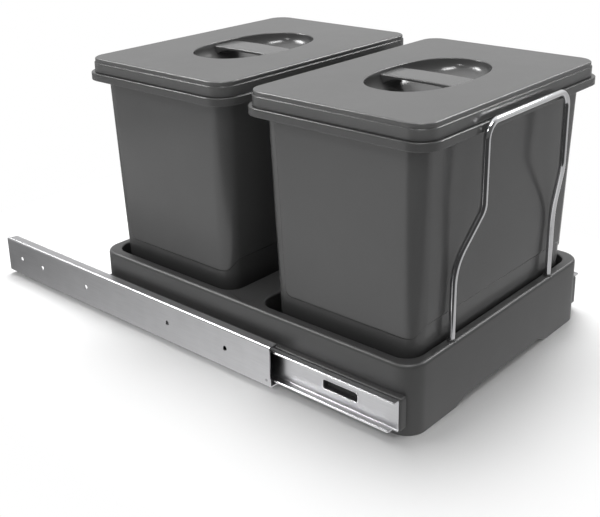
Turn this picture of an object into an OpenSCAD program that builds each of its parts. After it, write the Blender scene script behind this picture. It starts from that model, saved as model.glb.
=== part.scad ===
// Pull-out waste sorter: a moulded tray on two ball bearing slides, with two lidded bins
// and a wire pull at the front. The tray is drawn out as far as drawn_out says.
// Front is -Y and up is +Z. The origin lies under the middle of the whole unit, level with the tray's feet.

/* [Tray] */
// Width of the tray, side to side
tray_w = 326; // [280:1:420]
// Length of the tray, front to back
tray_l = 438; // [400:1:500]
// Height of the tray's rim above its feet
tray_h = 73; // [62:1:110]
// Radius of the tray's corners, seen from above
tray_corner_r = 22; // [16:1:30]
// Rounding of the tray's top outer edge
tray_edge_r = 3.5; // [1:0.5:5]
// Thickness of the tray's walls
tray_wall = 3; // [2:0.5:3.5]
// Width of the rim beside the pockets
side_rim_w = 12; // [10:1:18]
// Width of the rim in front of and behind the pockets
end_rim_w = 11; // [10:1:14]
// Width of the web between the two pockets
web_w = 38; // [20:1:50]
// Radius of the pockets' corners, seen from above
pocket_r = 18; // [10:1:26]
// Height of the pockets' floor above the feet
floor_z = 10.5; // [10:0.5:20]
// Thickness of the pockets' floor
floor_t = 2.5; // [2:0.5:3.5]
// Rise of the arch in the front and back skirts
arch_rise = 6.5; // [3:0.5:7]
// Width of the flat top of the arch
arch_w = 138; // [60:1:180]
// Width of each S-shaped flank of the arch
arch_flank_w = 23; // [10:1:40]

/* [Side pads] */
// Thickness of the pad that carries a slide
pad_t = 6; // [4:0.5:12]
// Height of the pad
pad_h = 34; // [20:1:40]
// Length of the pad
pad_l = 420; // [300:1:424]
// Distance from the tray's front to the pad
pad_front = 7.5; // [4:0.5:12]

/* [Slides] */
// Length of the cabinet rail
rail_l = 450; // [420:10:600]
// Height of the cabinet rail
rail_h = 45; // [40:1:50]
// Thickness of the slide from the cabinet wall to the pad
slide_t = 13; // [12.5:0.1:16]
// Thickness of the rails' steel sheet
sheet_t = 1.2; // [1:0.1:1.5]
// Outer bend radius of the rails' corners
rail_bend_r = 2.4; // [1.6:0.1:3]
// Depth of the cabinet rail's flanges
outer_flange = 10.5; // [10:0.1:11]
// Depth of the drawer rail's flanges
inner_flange = 8; // [7:0.1:9]
// Height of the slides' middle above the tray's feet
slide_z = 27; // [24:0.5:40]
// Distance from the tray's front to the drawer rail
inner_front = 9.5; // [4:0.5:16]
// How far the tray is drawn out
drawn_out = 147; // [0:1:200]
// Ball diameter
ball_d = 4.76; // [4:0.01:5]
// Spacing of the balls along a row
ball_pitch = 11; // [8:0.5:16]
// Thickness of the ball cage's sheet
cage_t = 0.8; // [0.5:0.1:1]
// Diameter of the fixing holes in the cabinet rail
fixing_d = 5; // [4:0.1:6]
// Distances of the fixing holes from the cabinet rail's front
fixing_y = [63, 151, 293, 379, 422];
// Length of the buffer at the back of the cabinet rail
buffer_l = 9.5; // [6:0.5:16]

/* [Slide screws] */
// Distance from the drawer rail's front to its first screw
screw_y = 180.5; // [110:0.5:200]
// Spacing of the drawer rail's screws
screw_pitch = 115; // [60:1:116]
// Diameter of a screw's head
screw_head_d = 7; // [6:0.1:9]
// Height of a screw's head
screw_head_h = 2; // [1.5:0.1:2.5]
// Diameter of a screw's shank
screw_d = 3.8; // [3:0.1:4.5]

/* [Wire pull] */
// Diameter of the wire
wire_d = 6.5; // [5:0.5:8]
// Distance between the legs' middles
leg_span = 186; // [160:1:220]
// Distance between the upper uprights' middles
grip_span = 148; // [120:1:156]
// Height of the wire's middle at the top bar
grip_z = 282; // [250:1:290]
// Radius of the two top corners
grip_r = 16; // [10:1:30]
// Height at which a leg starts to lean
lean_from_z = 128; // [120:1:160]
// Height at which it stands upright again
lean_to_z = 209; // [190:1:225]
// Radius of the soft bend where a leg starts to lean
lean_low_r = 90; // [20:1:100]
// Radius of the bend where it stands upright again
lean_top_r = 30; // [10:1:40]
// Height of a leg's lower end
leg_end_z = 32; // [20:1:40]
// Outer diameter of the bosses that hold the legs
boss_d = 10.4; // [9:0.1:10.6]
// Diameter of the screws in the ends of the legs
leg_screw_d = 3; // [2.5:0.1:3.5]
// Diameter of those screws' heads
leg_screw_head_d = 5.6; // [5:0.1:6.4]

/* [Bins] */
// How much narrower the bins' rims are than the tray, on each side
bin_inset = 2; // [0:0.5:6]
// How far the bins' rims stand out past the tray's ends
bin_overhang = 7.5; // [4:0.5:10]
// Gap between the rims of the two bins
bin_gap = 22; // [10:1:30]
// Height of a bin
bin_h = 270.5; // [240:0.5:300]
// Height of the bin's rim
rim_h = 8.3; // [5:0.1:14]
// Corner radius of the bin's rim, seen from above
rim_r = 24; // [20:1:36]
// Corner radius of the bin's walls, seen from above
bin_r = 18; // [12:1:24]
// Draft of the bin's walls, in degrees
bin_draft = 1.5; // [0.5:0.1:2]
// Thickness of the bin's walls
bin_wall = 2; // [1.5:0.1:3]
// Thickness of the bin's floor
bin_floor = 2.5; // [2:0.1:4]
// Height of the recessed skirt at the foot of the bin's walls
skirt_h = 76.5; // [65:0.5:110]
// How far the walls stand proud of that skirt
panel_t = 1; // [0.5:0.1:1.5]
// Rounding of the edge round the bin's foot
foot_r = 4; // [1:0.5:6]

/* [Lids] */
// How far the bin's rim shows around the lid
lid_inset = 4; // [2:0.5:6]
// Height of the lid above the bin's rim
lid_h = 15.5; // [12:0.5:24]
// Corner radius of the lid, seen from above
lid_r = 20; // [14:1:28]
// Thickness of the lid's walls
lid_wall = 2.2; // [1.5:0.1:3]
// Rounding of the lid's top edge
lid_edge_r = 2; // [0.5:0.5:3]
// Height of the lid's upper edge band
band_h = 5; // [4:0.5:8]
// How far that band is set in from the skirt below it
band_t = 1.1; // [0.5:0.1:1.5]
// How deep the lid reaches into the bin
plug_h = 8; // [4:0.5:14]
// Length of the finger bowl, side to side
bowl_w = 160; // [120:1:200]
// Width of the finger bowl, front to back
bowl_l = 94; // [70:1:110]
// Depth of the finger bowl
bowl_h = 28; // [20:1:36]
// Width of the bridge across the bowl
bridge_w = 38; // [24:1:50]
// Thickness of the bridge
bridge_t = 3; // [2:0.5:5]
// How far the bridge lies below the lid's top
bridge_drop = 3; // [1:0.5:5]

/* [Hidden] */
$fn = 48;

// Overrun of every cut past the face that it opens
cut = 1;
// Radial clearance of the wire in its bosses
wire_gap = 0.05;
// Thickness of the bosses' floors, which the legs stand on
boss_floor = 2.5;
boss_z = leg_end_z - boss_floor;
// Leg screws: the height of the head, the reach into the leg, and the room round the head
leg_screw_head_h = 2;
leg_screw_l = 10;
leg_screw_room = 0.3;
// Clearance between the wire and the front bin's rim
handle_gap = 0.5;
// Clearance between a bin's wall and the end of its pocket, level with the tray's rim
bin_clear = 1.2;
// Clearance between the lid's plug and the bin's mouth
plug_clear = 0.8;

// Rails and balls
ball_gap = 0.145;
lip_t = 1;
lip_h = 1.7;
lip_gap = 0.22;
cage_gap = 0.6;
cage_clear = 0.07;
cage_end = 5;
stop_gap = 0.5;
flange_relief_l = 6;
tab_w = 8;
fixing_sink_d = fixing_d + sheet_t;
fixing_sink_h = sheet_t / 3;
// Window in the drawer rail: its length, its height, its corners' radius, its place and the pocket behind it
window_l = 42;
window_h = 10;
window_r = 2.5;
window_y = 46.5;
window_pocket = 5.5;
lip_cut_l = 5.5;
// Stop rivet: its place on the cabinet rail, its shank and its head
rivet_y = 5;
rivet_z = -15.2;
rivet_d = 3;
rivet_head_d = 5;
rivet_head_h = 1.7;
rivet_gap = 0.05;
// Screws: how many hold each drawer rail, their radial clearance, and the cross slot in a head
screw_count = 3;
screw_gap = 0.05;
slot_w = 0.9;
slot_l_share = 0.6;
// Share of the cabinet rail's length that the tray can be drawn out
travel_share = 0.75;
// Points on each flank of the arch
arch_steps = 10;
// Segments of a rounded corner, of a rounded edge, of a bend in the wire and round the wire
corner_steps = 10;
edge_steps = 3;
bend_steps = 5;
wire_steps = 16;
// The bowl's outline is a superellipse of this power, cut in rings and segments
bowl_power = 2.35;
bowl_rings = 8;
bowl_segments = 48;

// Slides, worked out
side_x = tray_w / 2 + pad_t + slide_t;
inner_h = rail_h - 2 * (sheet_t + ball_d + 2 * ball_gap);
inner_l = rail_l - buffer_l - stop_gap;
cabinet_front = inner_front + drawn_out;
cabinet_rear = cabinet_front + rail_l;
full_travel = travel_share * rail_l;
out_travel = full_travel - drawn_out;
ball_in = outer_flange - lip_t - lip_gap - ball_d / 2;
ball_z = rail_h / 2 - sheet_t - ball_gap - ball_d / 2;
// With the tray fully out, the cage lies between the stop rivet and the drawer rail's tab
cage_out_front = cabinet_front + rivet_y + rivet_head_d / 2 + stop_gap;
cage_out_rear = inner_front + inner_l - out_travel - sheet_t - stop_gap;
cage_l = cage_out_rear - cage_out_front;
cage_front = cage_out_front + out_travel / 2;
ball_count = floor((cage_l - 2 * cage_end) / ball_pitch) + 1;
ball_first = cage_front + (cage_l - (ball_count - 1) * ball_pitch) / 2;
tab_in = sheet_t + cage_gap + cage_t / 2;

// Bins and lids, worked out
bin_w = tray_w - 2 * bin_inset;
bin_l = (tray_l + 2 * bin_overhang - bin_gap) / 2;
bin_top = floor_z + bin_h;
rim_z = bin_top - rim_h;
front_bin_y = bin_l / 2 - bin_overhang;
rear_bin_y = tray_l - front_bin_y;
pocket_w = tray_w - 2 * side_rim_w;
pocket_l = (tray_l - 2 * end_rim_w - web_w) / 2;
front_pocket_y = end_rim_w + pocket_l / 2;
rear_pocket_y = tray_l - front_pocket_y;
// How far a bin's wall lies inside its rim at a height
function wall_inset(z) = bin_overhang + end_rim_w + bin_clear - (z - tray_h) * tan(bin_draft);
mouth_inset = wall_inset(bin_top) + panel_t + bin_wall;
lid_w = bin_w - 2 * lid_inset;
lid_l = bin_l - 2 * lid_inset;
lid_top = bin_top + lid_h;
plug_w = bin_w - 2 * (mouth_inset + plug_clear);
plug_l = bin_l - 2 * (mouth_inset + plug_clear);
plug_r = bin_r - bin_wall - plug_clear;

// Wire, worked out
leg_y = end_rim_w / 2;
grip_y = -(bin_overhang + handle_gap + wire_d / 2);
lean_out = norm([(leg_span - grip_span) / 2, leg_y - grip_y]);
lean_rise = lean_to_z - lean_from_z;
lean_turn = atan2(grip_y - leg_y, (leg_span - grip_span) / 2);
// Both bends shrink alike where their radii don't fit into the lean
lean_fit_share = 0.99;
lean_fit = min(1, lean_fit_share * (lean_out ^ 2 + lean_rise ^ 2) / (2 * lean_out * (lean_low_r + lean_top_r)));
lean_low_fit = lean_fit * lean_low_r;
lean_top_fit = lean_fit * lean_top_r;
lean_both = lean_low_fit + lean_top_fit;
lean_centres = norm([lean_out - lean_both, lean_rise]);
lean_angle = atan2(lean_out - lean_both, lean_rise) + asin(lean_both / lean_centres);

// Middle of the whole unit, front to back
front_most = grip_y - wire_d / 2;
middle_y = (front_most + cabinet_rear) / 2;

// Moves a piece from the tray's front to the unit's own origin
module placed() {
  translate([0, -middle_y, 0]) children();
}

// Puts a piece drawn for the left side on the left or the right
module on_side(side) {
  mirror([side == "right" ? 1 : 0, 0, 0]) children();
}

// Rectangle with round corners, about the origin
module round_rect(w, l, r) {
  square([w - 2 * r, l], center = true);
  square([w, l - 2 * r], center = true);
  for (x = [-1, 1], y = [-1, 1])
    translate([x * (w / 2 - r), y * (l / 2 - r)]) circle(r);
}

module round_block(w, l, h, r) {
  linear_extrude(h) round_rect(w, l, r);
}

// The same outline as a ring of points at a height
function corner_ring(w, l, r, z) =
  [for (c = [0:3], i = [0:corner_steps])
    let (t = 90 * (c + i / corner_steps), x = sign(cos(90 * c + 45)), y = sign(sin(90 * c + 45)))
      [x * (w / 2 - r) + r * cos(t), y * (l / 2 - r) + r * sin(t), z]];

// Closed solid through rings of points, from its top ring down to its bottom ring
module loft(rings) {
  n = len(rings[0]);
  last = (len(rings) - 1) * n;
  sides = [for (j = [0:n:last - n], i = [0:n - 1]) let (k = (i + 1) % n)
            each [[j + i, j + k, j + n + k], [j + i, j + n + k, j + n + i]]];
  top = [[for (i = [n - 1:-1:0]) i]];
  bottom = [[for (i = [0:n - 1]) last + i]];
  polyhedron([for (ring = rings, p = ring) p], concat(sides, top, bottom));
}

// Block with round corners and a rounded top edge
module soft_block(w, l, h, r, edge) {
  loft(concat([for (i = [edge_steps:-1:0]) let (a = 90 * i / edge_steps, s = edge * (1 - cos(a)))
                corner_ring(w - 2 * s, l - 2 * s, r - s, h - edge * (1 - sin(a)))],
              [corner_ring(w, l, r, 0)]));
}

// Screw head with a cross slot, standing on z = 0
module cross_head(d, h) {
  difference() {
    cylinder(h = h, d = d);
    for (turn = [0, 90]) rotate([0, 0, turn])
      translate([-slot_l_share * d / 2, -slot_w / 2, h / 2]) cube([slot_l_share * d, slot_w, h]);
  }
}

// Tray

module pocket_tub(y) {
  translate([0, y, floor_z - floor_t])
    round_block(pocket_w + 2 * tray_wall, pocket_l + 2 * tray_wall, tray_h - tray_wall - floor_z + floor_t,
                pocket_r + tray_wall);
}

module pocket_hollow(y) {
  translate([0, y, floor_z]) round_block(pocket_w, pocket_l, tray_h, pocket_r);
}

// Opening under the front and back skirts, as a bar through the whole tray
module arch_bar() {
  flank = [for (i = [0:arch_steps]) i / arch_steps];
  right = [for (s = flank) [arch_w / 2 + arch_flank_w * (1 - s), arch_rise * (1 - cos(180 * s)) / 2]];
  left = [for (s = flank) [-arch_w / 2 - arch_flank_w * s, arch_rise * (1 + cos(180 * s)) / 2]];
  foot = arch_w / 2 + arch_flank_w;
  translate([0, tray_l + cut, 0]) rotate([90, 0, 0]) linear_extrude(tray_l + 2 * cut)
    polygon(concat([[foot, -cut]], right, left, [[-foot, -cut]]));
}

// Oblong window along Y with round corners, cut in from the slide's side
module window_slot(depth) {
  rotate([0, 90, 0]) linear_extrude(depth) round_rect(window_h, window_l, window_r);
}

module side_pad() {
  difference() {
    translate([-tray_w / 2 - pad_t, pad_front, slide_z - pad_h / 2])
      cube([pad_t + tray_wall / 2, pad_l, pad_h]);
    translate([-tray_w / 2 - pad_t - cut, inner_front + window_y + window_l / 2, slide_z])
      window_slot(window_pocket + cut);
  }
}

module screw_places() {
  for (i = [0:screw_count - 1])
    translate([-tray_w / 2 - pad_t, inner_front + screw_y + i * screw_pitch, slide_z]) rotate([0, 90, 0])
      children();
}

module leg_places() {
  for (x = [-leg_span / 2, leg_span / 2]) translate([x, leg_y, 0]) children();
}

module tray() {
  placed() color("#4c4c4e") difference() {
    union() {
      difference() {
        translate([0, tray_l / 2, 0]) soft_block(tray_w, tray_l, tray_h, tray_corner_r, tray_edge_r);
        translate([0, tray_l / 2, -cut])
          round_block(tray_w - 2 * tray_wall, tray_l - 2 * tray_wall, tray_h - tray_wall + cut,
                      tray_corner_r - tray_wall);
      }
      pocket_tub(front_pocket_y);
      pocket_tub(rear_pocket_y);
      leg_places() translate([0, 0, boss_z]) cylinder(h = tray_h - tray_wall / 2 - boss_z, d = boss_d);
      on_side("left") side_pad();
      on_side("right") side_pad();
    }
    pocket_hollow(front_pocket_y);
    pocket_hollow(rear_pocket_y);
    arch_bar();
    leg_places() {
      translate([0, 0, leg_end_z]) cylinder(h = tray_h, r = wire_d / 2 + wire_gap);
      cylinder(h = leg_end_z + cut, r = leg_screw_d / 2 + screw_gap);
      translate([0, 0, -cut]) cylinder(h = boss_z + cut, r = leg_screw_head_d / 2 + leg_screw_room);
    }
    for (side = ["left", "right"]) on_side(side) screw_places()
      translate([0, 0, -cut]) cylinder(h = pad_t + tray_wall + 2 * cut, r = screw_d / 2 + screw_gap);
  }
}

// Wire pull

// Points of a bend that starts upwards and turns outwards, as [out, up]
function bend_points(r, angle) =
  [for (i = [0:bend_steps]) let (a = angle * i / bend_steps) [r * (1 - cos(a)), r * sin(a)]];

// Middle line of the left half: the leg, its lean as two opposite bends, the upright and the top corner
lean_top = bend_points(lean_top_fit, lean_angle);
lean_path = concat(bend_points(lean_low_fit, lean_angle),
                   [for (i = [bend_steps:-1:0]) [lean_out, lean_rise] - lean_top[i]]);
left_path = concat(
  [[-leg_span / 2, leg_y, leg_end_z]],
  [for (p = lean_path)
    [p[0] * cos(lean_turn) - leg_span / 2, p[0] * sin(lean_turn) + leg_y, lean_from_z + p[1]]],
  [for (p = bend_points(grip_r, 90)) [p[0] - grip_span / 2, grip_y, grip_z - grip_r + p[1]]]);
wire_path = concat(left_path, [for (i = [len(left_path) - 1:-1:0])
                                [-left_path[i][0], left_path[i][1], left_path[i][2]]]);

function unit(v) = v / norm(v);

// Ring round the wire's middle line at one of its points, square to the line there
function wire_ring(i) =
  let (before = wire_path[max(i - 1, 0)], here = wire_path[i],
       after = wire_path[min(i + 1, len(wire_path) - 1)],
       into = i > 0 ? unit(here - before) : unit(after - here),
       out = i < len(wire_path) - 1 ? unit(after - here) : into,
       ahead = unit(into + out), across = unit(cross(ahead, [0, 1, 0])), aside = cross(across, ahead))
    [for (k = [0:wire_steps - 1]) let (t = 360 * k / wire_steps)
      here + wire_d / 2 * (cos(t) * across + sin(t) * aside)];

module wire_handle() {
  placed() color("#c9ccd0") difference() {
    loft([for (i = [0:len(wire_path) - 1]) wire_ring(i)]);
    leg_places() translate([0, 0, leg_end_z - cut])
      cylinder(h = leg_screw_l + 2 * cut, r = leg_screw_d / 2 + screw_gap);
  }
}

// Screw driven up through the boss's floor into the end of the leg
module leg_screw(side) {
  placed() color("#a9acae") on_side(side) translate([-leg_span / 2, leg_y, boss_z]) {
    cylinder(h = boss_floor + leg_screw_l, d = leg_screw_d);
    mirror([0, 0, 1]) cross_head(leg_screw_head_d, leg_screw_head_h);
  }
}
module leg_screw_left() { leg_screw("left"); }
module leg_screw_right() { leg_screw("right"); }

// Slides, drawn for the left side, with X running in from the cabinet wall and Z from the slide's middle

module at_slide(y) {
  translate([-side_x, y, slide_z]) children();
}

// Channel outline: its web is on the left, and it opens to the right
module channel_outline(depth, h, r) {
  translate([r, -h / 2]) square([depth - r, h]);
  translate([0, r - h / 2]) square([depth, h - 2 * r]);
  for (z = [-1, 1]) translate([r, z * (h / 2 - r)]) circle(r);
}

module channel(depth, h) {
  difference() {
    channel_outline(depth, h, rail_bend_r);
    translate([sheet_t, 0]) channel_outline(depth, h - 2 * sheet_t, rail_bend_r - sheet_t);
  }
}

// Bar along Y with the outline that follows
module along(l) {
  translate([0, l, 0]) rotate([90, 0, 0]) linear_extrude(l) children();
}

module cabinet_rail(side) {
  placed() color("#b4b6b8") on_side(side) at_slide(cabinet_front) difference() {
    along(rail_l) {
      channel(outer_flange, rail_h);
      for (z = [-1, 1])
        translate([outer_flange - lip_t / 2, z * (rail_h / 2 - (lip_h + sheet_t) / 2)])
          square([lip_t, lip_h + sheet_t], center = true);
    }
    translate([rail_bend_r, rail_l - flange_relief_l, rail_h / 2 - sheet_t - lip_h])
      cube([outer_flange, flange_relief_l + cut, lip_h + sheet_t + cut]);
    for (y = fixing_y) translate([-cut, y, 0]) rotate([0, 90, 0]) {
      cylinder(h = sheet_t + 2 * cut, d = fixing_d);
      translate([0, 0, cut]) cylinder(h = fixing_sink_h, d1 = fixing_sink_d, d2 = fixing_d);
    }
    translate([-cut, rivet_y, rivet_z]) rotate([0, 90, 0])
      cylinder(h = sheet_t + 2 * cut, r = rivet_d / 2 + rivet_gap);
  }
}
module cabinet_rail_left() { cabinet_rail("left"); }
module cabinet_rail_right() { cabinet_rail("right"); }

module drawer_rail(side) {
  placed() color("#9fa2a5") on_side(side) at_slide(inner_front) difference() {
    union() {
      translate([slide_t, 0, 0]) mirror([1, 0, 0]) along(inner_l) channel(inner_flange, inner_h);
      // Tab at the back, which meets the ball cage when the tray is fully out
      translate([tab_in, inner_l - sheet_t, -tab_w / 2]) cube([slide_t - sheet_t / 2 - tab_in, sheet_t, tab_w]);
    }
    translate([slide_t - sheet_t - cut, window_y + window_l / 2, 0]) window_slot(sheet_t + 2 * cut);
    translate([slide_t - inner_flange - cut, -cut, -inner_h / 2 - cut])
      cube([inner_flange - rail_bend_r + cut, lip_cut_l + cut, sheet_t + 2 * cut]);
    for (i = [0:screw_count - 1]) translate([slide_t - sheet_t - cut, screw_y + i * screw_pitch, 0])
      rotate([0, 90, 0]) cylinder(h = sheet_t + 2 * cut, r = screw_d / 2 + screw_gap);
  }
}
module drawer_rail_left() { drawer_rail("left"); }
module drawer_rail_right() { drawer_rail("right"); }

module ball_places() {
  for (i = [0:ball_count - 1], z = [-ball_z, ball_z]) at_slide(ball_first + i * ball_pitch)
    translate([ball_in, 0, z]) children();
}

module ball_cage(side) {
  row_w = ball_in + ball_d / 2 - cage_gap;
  placed() color("#7f8488") on_side(side) difference() {
    at_slide(cage_front) translate([sheet_t + cage_gap, 0, 0]) {
      translate([0, 0, -ball_z]) cube([cage_t, cage_l, 2 * ball_z]);
      for (z = [-ball_z, ball_z]) translate([0, 0, z - cage_t / 2]) cube([row_w, cage_l, cage_t]);
    }
    ball_places() cylinder(h = ball_d, r = ball_d / 2 + cage_clear, center = true);
  }
}
module ball_cage_left() { ball_cage("left"); }
module ball_cage_right() { ball_cage("right"); }

module balls(side) {
  placed() color("#d8dadc") on_side(side) ball_places() sphere(d = ball_d);
}
module balls_left() { balls("left"); }
module balls_right() { balls("right"); }

module stop_rivet(side) {
  placed() color("#8b8e90") on_side(side) at_slide(cabinet_front) translate([0, rivet_y, rivet_z])
    rotate([0, 90, 0]) {
      cylinder(h = sheet_t + rivet_head_h / 2, d = rivet_d);
      translate([0, 0, sheet_t]) cylinder(h = rivet_head_h, d = rivet_head_d);
    }
}
module stop_rivet_left() { stop_rivet("left"); }
module stop_rivet_right() { stop_rivet("right"); }

// Plastic block between the cabinet rail's flanges, which the drawer rail's back end closes against
module rear_buffer(side) {
  placed() color("#2f2f31") on_side(side) at_slide(cabinet_rear - buffer_l)
    translate([sheet_t, 0, rail_bend_r - rail_h / 2])
      cube([outer_flange - lip_t - sheet_t - lip_gap, buffer_l, rail_h - 2 * rail_bend_r]);
}
module rear_buffer_left() { rear_buffer("left"); }
module rear_buffer_right() { rear_buffer("right"); }

module rail_screws(side) {
  placed() color("#a9acae") on_side(side) screw_places() translate([0, 0, -sheet_t]) {
    cylinder(h = sheet_t + pad_t + tray_wall, d = screw_d);
    mirror([0, 0, 1]) cross_head(screw_head_d, screw_head_h);
  }
}
module rail_screws_left() { rail_screws("left"); }
module rail_screws_right() { rail_screws("right"); }

// Bins, drawn about their own middle

// Ring of a bin's wall at a height, taken in by a distance on every side
function bin_ring(z, inward) =
  let (side = 2 * (wall_inset(z) + inward))
    corner_ring(bin_w - side, bin_l - side, max(bin_r - inward, bin_wall), z);

// Rings round the foot of a tapered body, from the top of its rounded edge down
function foot_rings(z, inward, r) =
  [for (i = [0:edge_steps]) let (a = 90 * i / edge_steps)
    bin_ring(z + r * (1 - sin(a)), inward + r * (1 - cos(a)))];

module bin() {
  skirt_z = floor_z + skirt_h;
  difference() {
    union() {
      loft(concat([bin_ring(skirt_z, panel_t)], foot_rings(floor_z, panel_t, foot_r)));
      loft([bin_ring(bin_top, 0), bin_ring(skirt_z, 0)]);
      translate([0, 0, rim_z]) difference() {
        round_block(bin_w, bin_l, rim_h, rim_r);
        translate([0, 0, -cut])
          round_block(bin_w - 2 * bin_wall, bin_l - 2 * bin_wall, rim_h - bin_wall + cut, rim_r - bin_wall);
      }
    }
    loft(concat([bin_ring(bin_top + cut, panel_t + bin_wall)],
                foot_rings(floor_z + bin_floor, panel_t + bin_wall, foot_r - bin_wall / 2)));
  }
}
module bin_front() { placed() color("#5c5c5e") translate([0, front_bin_y, 0]) bin(); }
module bin_rear() { placed() color("#5c5c5e") translate([0, rear_bin_y, 0]) bin(); }

// Lids, drawn about their own middle

function power_cos(t) = sign(cos(t)) * pow(abs(cos(t)), 2 / bowl_power);
function power_sin(t) = sign(sin(t)) * pow(abs(sin(t)), 2 / bowl_power);

// One ring of the bowl, at a share of its full width and at a height
function bowl_ring(w, l, share, z) =
  [for (i = [0:bowl_segments - 1]) let (t = 360 * i / bowl_segments)
    [w / 2 * share * power_cos(t), l / 2 * share * power_sin(t), z]];

// Solid of a bowl's hollow below z = 0, carried up to a height above it
module bowl_solid(w, l, h, above) {
  last = bowl_rings - 1 / 2;
  loft(concat([bowl_ring(w, l, 1, above)],
              [for (j = [0:bowl_rings - 1]) let (a = 90 * j / last)
                bowl_ring(w, l, cos(a), -h * sin(a) / sin(90 * (bowl_rings - 1) / last))]));
}

// Bridge across the bowl, let into the bowl's walls at both ends
module bridge() {
  translate([0, 0, -bridge_drop - bridge_t / 2])
    cube([bridge_w, bowl_l + 2 * lid_wall, bridge_t], center = true);
}

module lid() {
  band_w = lid_w - 2 * band_t;
  band_l = lid_l - 2 * band_t;
  band_r = lid_r - band_t;
  difference() {
    union() {
      difference() {
        union() {
          translate([0, 0, bin_top]) round_block(lid_w, lid_l, lid_h - band_h, lid_r);
          translate([0, 0, lid_top - band_h]) soft_block(band_w, band_l, band_h, band_r, lid_edge_r);
        }
        translate([0, 0, bin_top - cut])
          round_block(band_w - 2 * lid_wall, band_l - 2 * lid_wall, lid_h - lid_wall + cut, band_r - lid_wall);
      }
      // Collar that reaches down into the bin's mouth
      translate([0, 0, bin_top - plug_h]) difference() {
        round_block(plug_w, plug_l, plug_h + lid_h - lid_wall / 2, plug_r);
        translate([0, 0, -cut])
          round_block(plug_w - 2 * lid_wall, plug_l - 2 * lid_wall, plug_h + lid_h + cut, plug_r - lid_wall);
      }
      intersection() {
        translate([0, 0, lid_top]) bowl_solid(bowl_w + 2 * lid_wall, bowl_l + 2 * lid_wall, bowl_h + lid_wall, cut);
        translate([0, 0, bin_top - bowl_h]) round_block(plug_w, plug_l, bowl_h + lid_h, plug_r);
      }
    }
    translate([0, 0, lid_top]) bowl_solid(bowl_w, bowl_l, bowl_h, cut);
  }
  translate([0, 0, lid_top]) bridge();
}
module lid_front() { placed() color("#6f6f71") translate([0, front_bin_y, 0]) lid(); }
module lid_rear() { placed() color("#6f6f71") translate([0, rear_bin_y, 0]) lid(); }

tray();
wire_handle();
leg_screw_left();
leg_screw_right();
cabinet_rail_left();
cabinet_rail_right();
drawer_rail_left();
drawer_rail_right();
ball_cage_left();
ball_cage_right();
balls_left();
balls_right();
stop_rivet_left();
stop_rivet_right();
rear_buffer_left();
rear_buffer_right();
rail_screws_left();
rail_screws_right();
bin_front();
bin_rear();
lid_front();
lid_rear();
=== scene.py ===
"""Looks of a pull-out waste sorter: a moulded tray on two slides, with two lidded bins and a wire pull.

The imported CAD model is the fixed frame. The plastic pieces and the wire are rebuilt with finer surfaces in
the same places. The steel pieces of the slides keep their CAD shapes and get finishes, and the drawer rails
also get their rolled edges.
Front is -Y and up is +Z. A piece is worked out in millimetres, with Y from the front of the tray, and is
moved back by MIDDLE_Y into the unit's own frame when its mesh is made. The studio and the shaders are in
metres, and a grey is given as the level from 0 to 255 that it displays at.
"""

import logging
import math
from collections.abc import Mapping, Sequence
from dataclasses import dataclass
from enum import Enum

import bmesh
import bpy
import numpy as np
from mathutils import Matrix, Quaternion, Vector


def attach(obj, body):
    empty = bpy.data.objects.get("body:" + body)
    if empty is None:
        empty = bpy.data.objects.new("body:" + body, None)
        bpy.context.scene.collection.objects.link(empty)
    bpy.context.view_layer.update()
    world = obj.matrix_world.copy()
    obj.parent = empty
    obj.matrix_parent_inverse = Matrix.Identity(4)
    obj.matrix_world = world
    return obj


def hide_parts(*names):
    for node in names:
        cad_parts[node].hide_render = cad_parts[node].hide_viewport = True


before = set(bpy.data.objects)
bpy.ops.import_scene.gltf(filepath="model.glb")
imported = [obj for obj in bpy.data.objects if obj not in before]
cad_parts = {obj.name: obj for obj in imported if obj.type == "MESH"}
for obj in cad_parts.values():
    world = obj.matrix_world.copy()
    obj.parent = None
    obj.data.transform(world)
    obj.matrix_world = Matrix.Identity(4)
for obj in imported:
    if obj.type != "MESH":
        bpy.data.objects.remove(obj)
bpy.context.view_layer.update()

LOG = logging.getLogger("waste_sorter")
MM = 0.001
MIDDLE_Y = 296.0
BIN_MIDDLES = {"front": 100.25, "rear": 337.75}
QUARTER = math.pi / 2
GUARD = 0.25
MERGE_M = 1e-6
SHARP_DEG = 42.0
NOISE_MIDDLE = 0.5
WHITE = 255.0
IMAGE_WIDTH_PX = 600
SENSOR_MM = 36.0


class Side(Enum):
    """Left or right side of the unit, as the sign of X."""

    LEFT = -1
    RIGHT = 1

    @property
    def word(self) -> str:
        """The side's name as the CAD nodes write it."""
        return self.name.lower()


class Slot(Enum):
    """Names of the record's material slots; nothing in this script uses them."""

    TRAY = "tray_plastic"
    BIN = "bin_plastic"
    LID = "lid_plastic"
    WIRE = "chromed_wire"


def ease(share: np.ndarray) -> np.ndarray:
    """Smooth step of a share held between 0 and 1: 3 s squared minus 2 s cubed."""
    held = np.clip(share, 0.0, 1.0)
    return held * held * (3.0 - 2.0 * held)


def spread(reach: float, count: int) -> np.ndarray:
    """Even shares of half a side, from -reach to reach."""
    return np.linspace(-reach, reach, count)


def full_turn(steps: int) -> np.ndarray:
    """Even angles of a closed turn, without the last one, which is the first again."""
    return np.linspace(0.0, 2 * math.pi, steps, endpoint=False)


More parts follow.
